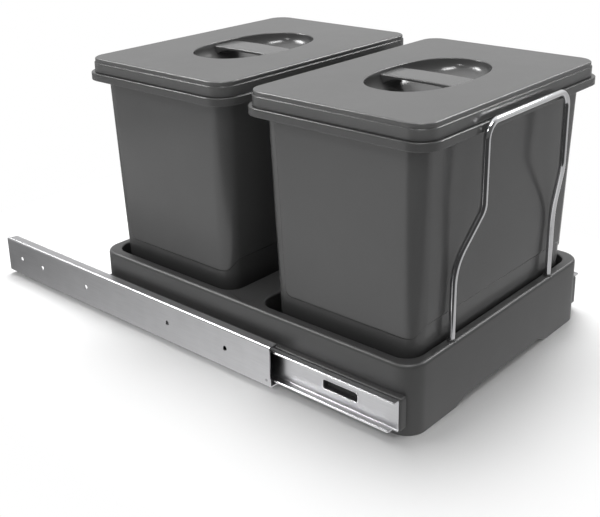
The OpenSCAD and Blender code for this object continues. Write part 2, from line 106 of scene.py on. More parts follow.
def rounded(corners: Sequence[Sequence[float]], steps: int, guard: float = GUARD) -> np.ndarray:
    """Open line through corners, each turned by an arc of its own radius.

    Every arc is the circle that touches both straights, and has a guard point a little way along each
    straight, so that smooth shading leaves the flats flat. Columns after the second run along in proportion.

    Args:
        corners: one row for each corner: across, up, any further columns, and last the arc's radius.
        steps: segments of each arc.
        guard: distance of the guard points from the arc.

    Returns:
        The line's points, one row each, without the radius column.
    """
    table = np.asarray(corners, float)
    points, radii = table[:, :-1], table[:, -1]
    share = np.linspace(0.0, 1.0, steps + 1)[:, None]
    line = [points[:1]]
    for before, here, after, radius in zip(points[:-2], points[1:-1], points[2:], radii[1:-1]):
        back, ahead = before - here, after - here
        back_l, ahead_l = np.linalg.norm(back[:2]), np.linalg.norm(ahead[:2])
        half = math.acos(np.clip(back[:2] @ ahead[:2] / (back_l * ahead_l), -1.0, 1.0)) / 2
        cut = radius / math.tan(half)
        start, end = here + back * cut / back_l, here + ahead * cut / ahead_l
        middle_way = back[:2] / back_l + ahead[:2] / ahead_l
        centre = here[:2] + middle_way / np.linalg.norm(middle_way) * radius / math.sin(half)
        sweep = math.pi - 2 * half
        arc = start + (end - start) * share
        arc[:, :2] = centre + (
            np.sin((1 - share) * sweep) * (start[:2] - centre) + np.sin(share * sweep) * (end[:2] - centre)
        ) / math.sin(sweep)
        line += [(start + back * guard / back_l)[None], arc, (end + ahead * guard / ahead_l)[None]]
    line.append(points[-1:])
    return np.concatenate(line)


@dataclass(frozen=True)
class Stations:
    """Places round a rounded rectangle, walked anticlockwise from the front end of its right side.

    A place is the corner centre scaled by (fx, fy), plus the corner radius along the outward (nx, ny).
    """

    fx: np.ndarray
    fy: np.ndarray
    nx: np.ndarray
    ny: np.ndarray

    @staticmethod
    def around(corner_steps: int, sides: Sequence[np.ndarray]) -> "Stations":
        """Stations of the right, back, left and front side, each followed by the corner it leads to.

        Args:
            corner_steps: segments of each corner.
            sides: for each side, shares between -1 and 1 of its straight, in walking order.

        Returns:
            The stations in walking order.
        """
        bend = np.linspace(0.0, QUARTER, corner_steps + 1)
        corner = np.ones_like(bend)
        parts = []
        for turn, shares in enumerate(sides):
            angle = turn * QUARTER
            c, s = round(math.cos(angle)), round(math.sin(angle))
            flat = np.ones_like(shares)
            outward = angle + bend
            parts += [
                np.stack([c * flat - s * shares, s * flat + c * shares, c * flat, s * flat]),
                np.stack([(c - s) * corner, (s + c) * corner, np.cos(outward), np.sin(outward)]),
            ]
        return Stations(*np.concatenate(parts, axis=1))

    @property
    def at_corner(self) -> np.ndarray:
        """Whether each station lies on a corner."""
        return (np.abs(self.fx) == 1) & (np.abs(self.fy) == 1)

    def rings(self, width: np.ndarray, length: np.ndarray, radius: np.ndarray, z: np.ndarray) -> np.ndarray:
        """Rings of points on rounded rectangles about the origin.

        Args:
            width: width of each ring.
            length: length of each ring.
            radius: corner radius of each ring.
            z: height of each ring.

        Returns:
            Points as (ring, station, 3).
        """
        width, length, radius, z = (np.asarray(v, float)[:, None] for v in (width, length, radius, z))
        radius = np.clip(radius, 0.0, np.minimum(width, length) / 2)
        x = self.fx * (width / 2 - radius) + self.nx * radius
        y = self.fy * (length / 2 - radius) + self.ny * radius
        return np.stack(np.broadcast_arrays(x, y, z), axis=-1)


def linked(made: bpy.types.Object) -> bpy.types.Object:
    """The object, once it is in the scene."""
    bpy.context.scene.collection.objects.link(made)
    return made


class Skin:
    """Points and faces of one piece, gathered from grids."""

    def __init__(self) -> None:
        """Starts with no points."""
        self._points: list[np.ndarray] = []
        self._faces: list[np.ndarray] = []
        self._count = 0

    def _add(self, points: np.ndarray, faces: np.ndarray) -> "Skin":
        """Adds points, and faces that count from the first of them.

        Args:
            points: (point, 3), in millimetres.
            faces: (face, 4) places in points.

        Returns:
            The skin itself.
        """
        self._points.append(points)
        self._faces.append(faces + self._count)
        self._count += len(points)
        return self

    def grid(self, points: np.ndarray, loop_rows: bool = False, keep: np.ndarray | None = None) -> "Skin":
        """Adds a grid of points, closed across its columns, with a face between each four neighbours.

        Args:
            points: (rows, columns, 3), in millimetres.
            loop_rows: whether the last row joins the first.
            keep: for each face of the grid, whether it is kept.

        Returns:
            The skin itself.
        """
        rows, columns = points.shape[:2]
        i = np.arange(rows if loop_rows else rows - 1)[:, None]
        j = np.arange(columns)[None, :]
        next_i, next_j = (i + 1) % rows, (j + 1) % columns
        corners = [i * columns + j, i * columns + next_j, next_i * columns + next_j, next_i * columns + j]
        faces = np.stack(np.broadcast_arrays(*corners), axis=-1)
        return self._add(points.reshape(-1, 3), faces[keep] if keep is not None else faces.reshape(-1, 4))

    def mirrored(self, axis: int, about: float) -> "Skin":
        """Adds a copy of everything so far, mirrored along an axis.

        Args:
            axis: 0 for X, 1 for Y, 2 for Z.
            about: the mirror's place on that axis.

        Returns:
            The skin itself.
        """
        points = np.concatenate(self._points)
        points[:, axis] = 2 * about - points[:, axis]
        return self._add(points, np.concatenate(self._faces))

    def piece(self, name: str, material: bpy.types.Material) -> bpy.types.Object:
        """Makes the object: places the points, closes seams and poles, turns the faces outwards.

        Args:
            name: the object's name.
            material: its material.

        Returns:
            The object, at the origin, with its place in its mesh.
        """
        points = (np.concatenate(self._points) - [0.0, MIDDLE_Y, 0.0]) * MM
        mesh = bpy.data.meshes.new(name)
        mesh.from_pydata(points.tolist(), [], np.concatenate(self._faces).tolist())
        work = bmesh.new()
        work.from_mesh(mesh)
        bmesh.ops.remove_doubles(work, verts=work.verts, dist=MERGE_M)
        bmesh.ops.recalc_face_normals(work, faces=work.faces)
        open_edges = sum(1 for edge in work.edges if len(edge.link_faces) != 2)
        work.to_mesh(mesh)
        work.free()
        mesh.shade_smooth()
        mesh.set_sharp_from_angle(angle=math.radians(SHARP_DEG))
        mesh.materials.append(material)
        counts = len(mesh.vertices), len(mesh.polygons), open_edges
        LOG.info("%s: %d points, %d faces, %d open edges", name, *counts)
        return linked(bpy.data.objects.new(name, mesh))


def turned(line: np.ndarray, steps: int, x: float, y: float) -> np.ndarray:
    """Closed line turned round an upright axis: the axis plus (cos t, sin t) times the radius.

    Args:
        line: radius and height of each point.
        steps: points of the turn.
        x: the axis's place across.
        y: the axis's place along.

    Returns:
        Points as (place on the line, step, 3).
    """
    t = full_turn(steps)
    radius, height = line[:, :1], line[:, 1:2]
    return np.stack(np.broadcast_arrays(x + radius * np.cos(t), y + radius * np.sin(t), height), axis=-1)


def capped(rings: np.ndarray) -> np.ndarray:
    """Rings with a point added in the middle of the first and of the last one, which closes both.

    Args:
        rings: points as (ring, station, 3).

    Returns:
        The rings with one more at each end, whose stations all lie at one point.
    """
    middles = [(rings[i].min(axis=0) + rings[i].max(axis=0)) / 2 for i in (0, -1)]
    first, last = (np.broadcast_to(middle, rings[:1].shape) for middle in middles)
    return np.concatenate([first, rings, last])


def swept(path: np.ndarray, radii: np.ndarray, steps: int) -> np.ndarray:
    """Circles square to a path: centre plus radius times (cos t across plus sin t aside).

    Args:
        path: the middle line's points; it never runs along Y.
        radii: the circle's radius at each point.
        steps: points of each circle.

    Returns:
        Points as (place, step, 3).
    """
    ahead = np.gradient(path, axis=0)
    ahead /= np.linalg.norm(ahead, axis=1, keepdims=True)
    across = np.cross(ahead, [0.0, 1.0, 0.0])
    across /= np.linalg.norm(across, axis=1, keepdims=True)
    aside = np.cross(across, ahead)
    t = full_turn(steps)[None, :, None]
    turn = np.cos(t) * across[:, None] + np.sin(t) * aside[:, None]
    return path[:, None] + radii[:, None, None] * turn


class Value:
    """A socket of a node tree, with arithmetic that adds Math nodes."""

    def __init__(self, graph: "Graph", socket: bpy.types.NodeSocket) -> None:
        """Keeps the socket and the graph that it belongs to."""
        self.graph = graph
        self.socket = socket

    def _math(self, operation: str, first: "Number", second: "Number") -> "Value":
        """A Math node on two numbers or sockets."""
        return self.graph.node("ShaderNodeMath", {"operation": operation}, {0: first, 1: second})

    def __add__(self, other: "Number") -> "Value":
        """The sum."""
        return self._math("ADD", self, other)

    def __sub__(self, other: "Number") -> "Value":
        """The difference."""
        return self._math("SUBTRACT", self, other)

    def __rsub__(self, other: "Number") -> "Value":
        """The difference, the other way round."""
        return self._math("SUBTRACT", other, self)

    def __mul__(self, other: "Number") -> "Value":
        """The product."""
        return self._math("MULTIPLY", self, other)

    __radd__ = __add__
    __rmul__ = __mul__

    def over(self, low: float, high: float) -> "Value":
        """The share of the way from one value to another, held between 0 and 1.

        Args:
            low: the value at which the share is 0; it may be the larger one.
            high: the value at which the share is 1.

        Returns:
            The share.
        """
        share = (self - low) * (1.0 / (high - low))
        share.socket.node.use_clamp = True
        return share


Number = Value | float
Setting = Number | Sequence[float]
Triple = tuple[float, float, float]
Pair = tuple[float, float]


class Graph:
    """A material's or the world's node tree."""

    def __init__(self, tree: bpy.types.NodeTree) -> None:
        """Empties the tree."""
        self.tree = tree
        tree.nodes.clear()

    def node(
        self,
        kind: str,
        settings: Mapping[str, object] | None = None,
        inputs: Mapping[str | int, Setting] | None = None,
        output: str | int = 0,
    ) -> Value:
        """Adds a node.

        Args:
            kind: the node's type.
            settings: its properties, set first.
            inputs: values or links of its input sockets, by name or place.
            output: the output that is returned, by name or place.

        Returns:
            The chosen output, or the first input of a node that has no outputs.
        """
        made = self.tree.nodes.new(kind)
        for key, value in (settings or {}).items():
            setattr(made, key, value)
        for key, value in (inputs or {}).items():
            if isinstance(value, Value):
                self.tree.links.new(value.socket, made.inputs[key])
            else:
                made.inputs[key].default_value = value
        return Value(self, made.outputs[output]) if len(made.outputs) else Value(self, made.inputs[0])

    def place(self, scale: Triple = (1.0, 1.0, 1.0)) -> Value:
        """The point on the object, stretched along the axes."""
        point = self.node("ShaderNodeTexCoord", output="Object")
        return self.node("ShaderNodeMapping", {}, {"Vector": point, "Scale": scale})

    def noise(self, place: Value, waves: float, detail: float) -> Value:
        """Noise about one half at a place, with a number of waves to the metre."""
        inputs = {"Vector": place, "Scale": waves, "Detail": detail}
        return self.node("ShaderNodeTexNoise", {}, inputs, "Fac")

    def mix(self, share: Number, first: Setting, second: Setting) -> Value:
        """Colour part of the way between two colours."""
        return self.node("ShaderNodeMix", {"data_type": "RGBA"}, {0: share, 6: first, 7: second}, 2)

    def bump(self, height: Value, distance: float) -> Value:
        """Normal of a surface raised by a height times a distance."""
        return self.node("ShaderNodeBump", {}, {"Height": height, "Distance": distance})

    def part(self, vector: Value, axis: str) -> Value:
        """One of the three parts of a vector."""
        return self.node("ShaderNodeSeparateXYZ", {}, {0: vector}, axis)

    def vector(self, operation: str, *terms: Setting) -> Value:
        """A Vector Math node whose result is a vector."""
        return self.node("ShaderNodeVectorMath", {"operation": operation}, dict(enumerate(terms)))

    def measure(self, operation: str, *terms: Setting) -> Value:
        """A Vector Math node whose result is a number."""
        return self.node("ShaderNodeVectorMath", {"operation": operation}, dict(enumerate(terms)), "Value")

    def is_ray(self, kind: str) -> Value:
        """1 for a ray of a kind, such as Camera or Glossy, and 0 for the others."""
        return self.node("ShaderNodeLightPath", output=f"Is {kind} Ray")

    def glow(self, kind: str, colour: Setting, strength: float = 1.0) -> Value:
        """An Emission or Background shader of one colour."""
        return self.node(kind, {}, {"Color": colour, "Strength": strength})

    def either(self, share: Number, first: Value, second: Value) -> Value:
        """Shader part of the way between two shaders."""
        return self.node("ShaderNodeMixShader", {}, {0: share, 1: first, 2: second})

    def close(self, shader: Value, kind: str = "ShaderNodeOutputMaterial") -> None:
        """Joins a shader to the tree's output."""
        self.node(kind, {}, {"Surface": shader})


def material_graph(name: str) -> tuple[bpy.types.Material, Graph]:
    """Makes a material.

    Args:
        name: its name.

    Returns:
        The material and its empty graph.
    """
    made = bpy.data.materials.new(name)
    made.use_nodes = True
    return made, Graph(made.node_tree)


def grey(level: float, tint: Triple = (1.0, 1.0, 1.0)) -> tuple[float, float, float, float]:
    """Linear colour of a grey, by the standard display curve.

    Args:
        level: the level from 0 to 255 that the grey displays at.
        tint: a slight tint, as a factor on red, green and blue.

    Returns:
        Red, green, blue and an alpha of 1.
    """
    share = level / WHITE
    linear = share / 12.92 if share <= 0.04045 else ((share + 0.055) / 1.055) ** 2.4
    return (linear * tint[0], linear * tint[1], linear * tint[2], 1.0)


@dataclass(frozen=True)
class MouldedPlastic:
    """Dyed polypropylene: a faint cloudiness in its grey, a fine spark-eroded grain, and handled patches.

    Clouds and patches are given as waves to the metre and the noise's detail.
    """

    name: str
    level: float
    roughness: float
    grain_mm: float
    grain_depth_mm: float
    grain_detail: float = 2.0
    grain_range: Pair = (0.35, 0.75)
    grain_share: float = 0.25
    grain_light: float = 1.12
    clouds: Pair = (9.0, 4.0)
    cloud_range: Pair = (0.3, 0.7)
    cloud_depth: float = 0.025
    patches: Pair = (38.0, 5.0)
    patch_depth: float = 0.06
    polish: float = 0.0
    polish_z: Pair = (0.2963, 0.2957)

    def material(self) -> bpy.types.Material:
        """The finish as a material; the polish takes roughness away below a height.

        Returns:
            The material.
        """
        made, graph = material_graph(self.name)
        place = graph.place()
        clouds = graph.noise(place, *self.clouds)
        handled = graph.noise(place, *self.patches)
        grain = graph.noise(place, 1.0 / (self.grain_mm * MM), self.grain_detail)
        dark, pale = (grey(self.level * (1 + sign * self.cloud_depth)) for sign in (-1, 1))
        cloudy = graph.mix(clouds.over(*self.cloud_range), dark, pale)
        specks = grain.over(*self.grain_range) * self.grain_share
        polished = graph.part(place, "Z").over(*self.polish_z) * self.polish
        shader = graph.node(
            "ShaderNodeBsdfPrincipled",
            {},
            {
                "Base Color": graph.mix(specks, cloudy, grey(self.level * self.grain_light)),
                "Roughness": self.roughness + (handled - NOISE_MIDDLE) * self.patch_depth - polished,
                "Normal": graph.bump(grain, self.grain_depth_mm * MM),
            },
        )
        graph.close(shader)
        return made


@dataclass(frozen=True)
class Steel:
    """Metal sheet or wire: a metallic grey whose polish lines run along one axis.

    Patches are given as waves to the metre and the noise's detail.
    """

    name: str
    level: float
    roughness: float
    streak: Triple = (1.0, 1.0, 1.0)
    streak_waves: float = 900.0
    streak_depth_mm: float = 0.004
    variation: float = 0.08
    streak_detail: float = 4.0
    streak_range: Pair = (0.25, 0.75)
    streak_share: float = 0.6
    patches: Pair = (45.0, 5.0)
    patch_range: Pair = (0.3, 0.7)
    mottle: float = 0.06
    tint: Triple = (1.0, 1.0, 1.02)
    metallic: float = 1.0

    def material(self) -> bpy.types.Material:
        """The finish as a material; the lines and the patches vary both grey and roughness.

        Returns:
            The material.
        """
        made, graph = material_graph(self.name)
        lines = graph.noise(graph.place(self.streak), self.streak_waves, self.streak_detail)
        patches = graph.noise(graph.place(), *self.patches)
        lines_part = lines.over(*self.streak_range) * self.streak_share
        patches_part = patches.over(*self.patch_range) * (1 - self.streak_share)
        dark = grey(self.level * (1 - self.variation), self.tint)
        pale = grey(min(self.level * (1 + self.variation), WHITE), self.tint)
        uneven = (lines - NOISE_MIDDLE) * self.mottle + (patches - NOISE_MIDDLE) * self.mottle
        shader = graph.node(
            "ShaderNodeBsdfPrincipled",
            {},
            {
                "Base Color": graph.mix(lines_part + patches_part, dark, pale),
                "Metallic": self.metallic,
                "Roughness": self.roughness + uneven,
                "Normal": graph.bump(lines, self.streak_depth_mm * MM),
            },
        )
        graph.close(shader)
        return made


@dataclass(frozen=True)
class Tray:
    """Moulded tray: two pockets with a web between them, an arched skirt, side pads and two bosses.

    A land is the flat beside a rounding, and a foot or a lip is a rounding at the bottom or the top. Shares
    and steps are where the mesh has its lines.
    """

    width: float = 326.0
    length: float = 438.0
    height: float = 73.0
    corner_r: float = 22.0
    edge_r: float = 3.5
    wall: float = 3.0
    pocket_w: float = 302.0
    pocket_l: float = 189.0
    pocket_r: float = 18.0
    pocket_front: float = 11.0
    pocket_foot_r: float = 6.0
    pocket_lip_r: float = 2.0
    under_foot_r: float = 7.0
    under_lip_r: float = 1.0
    floor_z: float = 10.5
    floor_t: float = 2.5
    floor_hub: float = 10.0
    land: float = 3.0
    narrow_land: float = 2.0
    web_land: float = 1.0
    web_turn: float = 18.0
    skirt_r: float = 0.7
    skirt_root_r: float = 1.5
    arch_rise: float = 6.5
    arch_half: float = 69.0
    arch_flank: float = 23.0
    arch_fade: float = 60.0
    front_facing: float = 0.9
    pad_t: float = 6.0
    pad_h: float = 34.0
    pad_l: float = 420.0
    pad_r: float = 3.0
    pad_edge: float = 1.5
    pad_root: float = 1.5
    pad_front: float = 7.5
    slide_z: float = 27.0
    window_y: float = 77.0
    window_l: float = 42.0
    window_h: float = 10.0
    window_r: float = 2.5
    window_depth: float = 5.5
    window_foot: float = 0.3
    window_lip: float = 0.4
    leg_x: float = 93.0
    leg_y: float = 5.5
    boss_z: float = 29.5
    boss_r: float = 5.2
    boss_foot_r: float = 0.5
    boss_seam_z: float = 50.0
    boss_guard: float = 0.1
    shoulder: Pair = (1.0, 0.5)
    collar_r: float = 4.4
    collar_h: float = 1.4
    collar_lip_r: float = 0.6
    bore_r: float = 3.31
    bore_lip_r: float = 0.4
    bore_z: float = 32.0
    screw_r: float = 1.6
    fine_r: float = 0.2
    corner_steps: int = 12
    side_shares: tuple[float, int] = (0.94, 12)
    back_shares: tuple[float, int] = (0.95, 14)
    arch_shares: Pair = (0.08, 0.3)
    flank_shares: tuple[float, float, int] = (0.46, 0.68, 12)
    foot_shares: Pair = (0.76, 0.9)
    pad_corner_steps: int = 6
    pad_edge_steps: int = 4
    pad_end_shares: tuple[float, int] = (0.9, 5)
    pad_side_shares: tuple[float, int] = (0.98, 24)
    top_steps: int = 5
    under_steps: int = 4
    skirt_steps: int = 6
    boss_steps: int = 3
    turn_steps: int = 32

    def _stations(self) -> tuple[Stations, np.ndarray]:
        """Stations round a pocket, and each one's share along its side or corner.

        Returns:
            The stations, and shares from 0 to 1 in walking order.
        """
        side = spread(*self.side_shares)
        flank = np.concatenate([self.arch_shares, np.linspace(*self.flank_shares), self.foot_shares])
        sides = [side, spread(*self.back_shares), side, np.concatenate([-flank[::-1], flank])]
        corner = np.linspace(0.0, 1.0, self.corner_steps + 1)
        shares = np.concatenate([part for side in sides for part in ((side + 1) / 2, corner)])
        return Stations.around(self.corner_steps, sides), shares

    def _border(self, where: Stations, share: np.ndarray) -> tuple[np.ndarray, np.ndarray, np.ndarray]:
        """Outer border of the front half: the outline on three sides, and the web's middle line behind.

        The stations of a back corner run up the tray's side first, and then in along the middle line.

        Args:
            where: the stations round the pocket.
            share: each station's share along its side or corner.

        Returns:
            Border points (station, 2), outward directions there, and which stations are on the middle line.
        """
        half_w, half_l, r, turn = self.width / 2, self.length / 2, self.corner_r, self.web_turn
        inner = half_w - self.edge_r - self.web_land
        corner = where.at_corner
        side = np.sign(where.fx)
        lead = np.where(side > 0, share, 1 - share)
        is_side = (np.abs(where.nx) == 1) & ~corner
        is_front = (where.ny == -1) & ~corner
        is_back = (where.ny == 1) & ~corner
        front_corner = corner & (where.fy == -1)
        back_corner = corner & (where.fy == 1)
        rising = back_corner & (lead <= 0.5)
        along = back_corner & (lead > 0.5)
        step = 1 / self.corner_steps
        away = np.clip((lead - 0.5 - step) / (0.5 - step), 0, 1)
        pocket_x = self.pocket_w / 2 - self.pocket_r
        x = np.select(
            [is_side | rising, front_corner, is_front, along],
            [side * half_w, side * (half_w - r) + where.nx * r, where.fx * (half_w - r),
             side * (inner - (inner - pocket_x) * away)],
            where.fx * pocket_x,
        )
        y = np.select(
            [is_side, rising, front_corner, is_front],
            [r + (where.fy + 1) / 2 * (half_l - turn - r), half_l - turn + turn * 2 * lead,
             r + where.ny * r, np.zeros_like(x)],
            half_l,
        )
        middle = is_back | along
        nx = np.where(middle, 0.0, np.where(is_side | rising, side, where.nx))
        ny = np.where(middle | is_side | rising, 0.0, where.ny)
        return np.stack([x, y], axis=-1), np.stack([nx, ny], axis=-1), middle

    def _lower_edge(self, x: np.ndarray, at_front: np.ndarray) -> np.ndarray:
        """Height of the skirt's lower edge: an arch between two flanks of a half cosine wave each."""
        share = np.clip((self.arch_half + self.arch_flank - np.abs(x)) / self.arch_flank, 0.0, 1.0)
        return np.where(at_front, self.arch_rise * (1 - np.cos(math.pi * share)) / 2, 0.0)

    def _pocket_rings(self, where: Stations, line: np.ndarray) -> np.ndarray:
        """Rings of the front pocket along a line.

        Args:
            where: the stations round the pocket.
            line: how far each ring is taken in, its height and its corner radius.

        Returns:
            Points as (ring, station, 3).
        """
        inset, z, radius = line.T
        rings = where.rings(self.pocket_w - 2 * inset, self.pocket_l - 2 * inset, radius, z)
        rings[..., 1] += self.pocket_front + self.pocket_l / 2
        return rings

    def _shell(self, skin: Skin) -> None:
        """Adds the front half: one grid from the pocket's floor over the rim, down the skirt and back below.

        The skirt's profile is carried round the border, and its lower part is lifted by the arch.

        Args:
            skin: the skin that takes the grid.
        """
        where, share = self._stations()
        border, outward, middle = self._border(where, share)
        at_front = (border[:, 1] < self.corner_r) & (outward[:, 1] < -self.front_facing)
        low = self._lower_edge(border[:, 0], at_front)
        hub = self.pocket_l / 2 - self.floor_hub
        top_r, under_r = self.pocket_r, self.pocket_r + self.wall
        under_z, below_z = self.height - self.wall, self.floor_z - self.floor_t
        top = rounded(
            [(hub, self.floor_z, 0, 0), (0, self.floor_z, top_r, self.pocket_foot_r),
             (0, self.height, top_r, self.pocket_lip_r), (-self.land, self.height, top_r + self.land, 0)],
            self.top_steps,
        )
        below = rounded(
            [(-self.wall - self.narrow_land, under_z, under_r + self.narrow_land, 0),
             (-self.wall, under_z, under_r, self.under_lip_r),
             (-self.wall, below_z, under_r, self.under_foot_r), (hub, below_z, 0, 0)],
            self.under_steps,
        )
        skirt = rounded(
            [(self.edge_r + self.narrow_land, self.height, 0), (0, self.height, self.edge_r),
             (0, 0, self.skirt_r), (self.wall, 0, self.skirt_r), (self.wall, under_z, self.skirt_root_r),
             (self.wall + self.land, under_z, 0)],
            self.skirt_steps,
        )
        over, beneath = self._pocket_rings(where, top), self._pocket_rings(where, below)
        rim = np.empty((len(skirt), len(border), 3))
        rim[..., :2] = border - skirt[:, :1, None] * outward
        height = skirt[:, 1:2]
        rim[..., 2] = height + low * np.clip((self.arch_fade - height) / self.arch_fade, 0, 1)
        # On the middle line the profile's first two points lie on the web's top, and the others under it.
        on_top = np.arange(len(skirt))[:, None] <= 1
        rim[..., 2] = np.where(middle, np.where(on_top, self.height, under_z), rim[..., 2])
        rows = capped(np.concatenate([over, rim, beneath]))
        # The web needs no skirt there, because the mirrored half goes on from the middle line.
        on_middle = middle | np.roll(middle, -1)
        in_skirt = np.zeros(len(rows) - 1, bool)
        in_skirt[len(over) + 1 : len(over) + len(skirt)] = True
        skin.grid(rows, keep=~(in_skirt[:, None] & on_middle[None, :]))

    def _pad(self, side: Side) -> np.ndarray:
        """Side pad with its window pocket: rings from the pocket's floor over the face to the pad's back.

        A ring is a rounded rectangle given by its length, height, corner radius, middle and distance off the
        tray. The face's edge is a quarter circle.

        Args:
            side: the side of the tray.

        Returns:
            Points as (ring, station, 3).
        """
        length, height, radius, edge = self.pad_l, self.pad_h, self.pad_r, self.pad_edge
        hole_l, hole_h, hole_r, hole_y = self.window_l, self.window_h, self.window_r, self.window_y
        foot, lip, y = self.window_foot, self.window_lip, self.pad_front + self.pad_l / 2
        face, floor = self.pad_t, self.pad_t - self.window_depth
        flat = 2 * (edge + GUARD)
        turn = np.linspace(0.0, QUARTER, self.pad_edge_steps + 1)
        rows = [
            (hole_l - hole_h, 0, 0, hole_y, floor),
            (hole_l - 2 * foot, hole_h - 2 * foot, hole_r - foot, hole_y, floor),
            (hole_l, hole_h, hole_r, hole_y, floor + foot),
            (hole_l, hole_h, hole_r, hole_y, face - lip),
            (hole_l + 2 * lip, hole_h + 2 * lip, hole_r + lip, hole_y, face),
            (length - flat, height - flat, radius - edge, y, face),
        ]
        rows += [
            (length - 2 * s, height - 2 * s, radius - s, y, face - edge + edge * c)
            for s, c in zip(edge * (1 - np.sin(turn)), np.cos(turn))
        ]
        rows += [
            (length, height, radius, y, 0),
            (length, height, radius, y, -self.pad_root),
            (length - height, 0, 0, y, -self.pad_root),
        ]
        end, long = spread(*self.pad_end_shares), spread(*self.pad_side_shares)
        ring_l, ring_h, ring_r, centre, out = np.array(rows, float).T
        rings = Stations.around(self.pad_corner_steps, [end, long] * 2).rings(ring_l, ring_h, ring_r, out)
        x = side.value * (self.width / 2 + rings[..., 2])
        return np.stack([x, rings[..., 0] + centre[:, None], rings[..., 1] + self.slide_z], axis=-1)

    def _boss(self, side: Side) -> np.ndarray:
        """Boss that holds a leg of the wire pull, with a low collar on the rim and a screw hole below.

        Args:
            side: the side of the tray.

        Returns:
            Points as (place on the outline, step, 3).
        """
        collar_z = self.height + self.collar_h
        below, above = self.shoulder
        line = rounded(
            [(self.boss_r, self.boss_seam_z, 0), (self.boss_r, self.height - below, self.fine_r),
             (self.collar_r, self.height - above, self.fine_r), (self.collar_r, collar_z, self.collar_lip_r),
             (self.bore_r, collar_z, self.bore_lip_r), (self.bore_r, self.bore_z, self.fine_r),
             (self.screw_r, self.bore_z, self.fine_r), (self.screw_r, self.boss_z, self.fine_r),
             (self.boss_r, self.boss_z, self.boss_foot_r), (self.boss_r, self.boss_seam_z, 0)],
            self.boss_steps, self.boss_guard,
        )
        return turned(line[:-1], self.turn_steps, side.value * self.leg_x, self.leg_y)

    def build(self, finish: MouldedPlastic) -> None:
        """Builds the tray and puts it on the pull-out body.

        Args:
            finish: the tray's plastic.
        """
        skin = Skin()
        self._shell(skin)
        skin.mirrored(1, self.length / 2)
        for side in Side:
            skin.grid(self._pad(side))
            skin.grid(self._boss(side), loop_rows=True)
        made = skin.piece("tray_moulding", finish.material())
        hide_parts("tray")
        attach(made, "pull_out")


@dataclass(frozen=True)
class WirePull:
    """Bent wire hoop: two legs that lean in and forwards, two uprights and a top bar."""

    wire_d: float = 6.5
    end_round: float = 0.6
    leg_x: float = 93.0
    leg_y: float = 5.5
    grip_x: float = 74.0
    grip_y: float = -11.25
    grip_z: float = 282.0
    grip_r: float = 16.0
    lean_from: float = 128.0
    lean_to: float = 209.0
    lean_low_r: float = 90.0
    lean_top_r: float = 30.0
    foot_z: float = 32.0
    foot_guard: float = 40.0
    bend_guard: float = 30.0
    bend_steps: int = 14
    round_steps: int = 36

    def _middle_line(self) -> np.ndarray:
        """Middle line: each bend is an arc, (r (1 - cos a), r sin a), and the right half mirrors the left.

        Returns:
            Points as (place, 3).
        """
        out = math.hypot(self.leg_x - self.grip_x, self.leg_y - self.grip_y)
        rise = self.lean_to - self.lean_from
        both = self.lean_low_r + self.lean_top_r
        lean = math.atan2(out - both, rise) + math.asin(both / math.hypot(out - both, rise))
        a = np.linspace(0.0, lean, self.bend_steps + 1)
        arc = np.stack([1 - np.cos(a), np.sin(a)], axis=-1)
        leaning = np.concatenate([self.lean_low_r * arc, [out, rise] - self.lean_top_r * arc[::-1]])
        aside, up = leaning.T
        inwards, backwards = np.array([self.leg_x - self.grip_x, self.grip_y - self.leg_y]) / out
        leg = [aside * inwards - self.leg_x, aside * backwards + self.leg_y, up + self.lean_from]
        b = np.linspace(0.0, QUARTER, self.bend_steps + 1)
        across, drop = self.grip_r * (1 - np.cos(b)), self.grip_r * (1 - np.sin(b))
        top = [across - self.grip_x, np.full_like(b, self.grip_y), self.grip_z - drop]
        foot_z = [self.foot_z, self.foot_z + self.end_round, self.foot_z + self.foot_guard,
                  self.lean_from - self.bend_guard]
        foot = [np.full(len(foot_z), -self.leg_x), np.full(len(foot_z), self.leg_y), foot_z]
        left = np.concatenate([np.stack(part, axis=-1) for part in (foot, leg, top)])
        return np.concatenate([left, left[::-1] * [-1.0, 1.0, 1.0]])

    def build(self, finish: Steel) -> None:
        """Builds the wire and puts it on the pull-out body.

        Args:
            finish: the wire's chrome.
        """
        path = self._middle_line()
        radii = np.full(len(path), self.wire_d / 2)
        radii[[0, -1]] -= self.end_round
        tube = swept(path, radii, self.round_steps)
        made = Skin().grid(capped(tube)).piece("wire_pull", finish.material())
        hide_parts("wire_handle")
        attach(made, "pull_out")


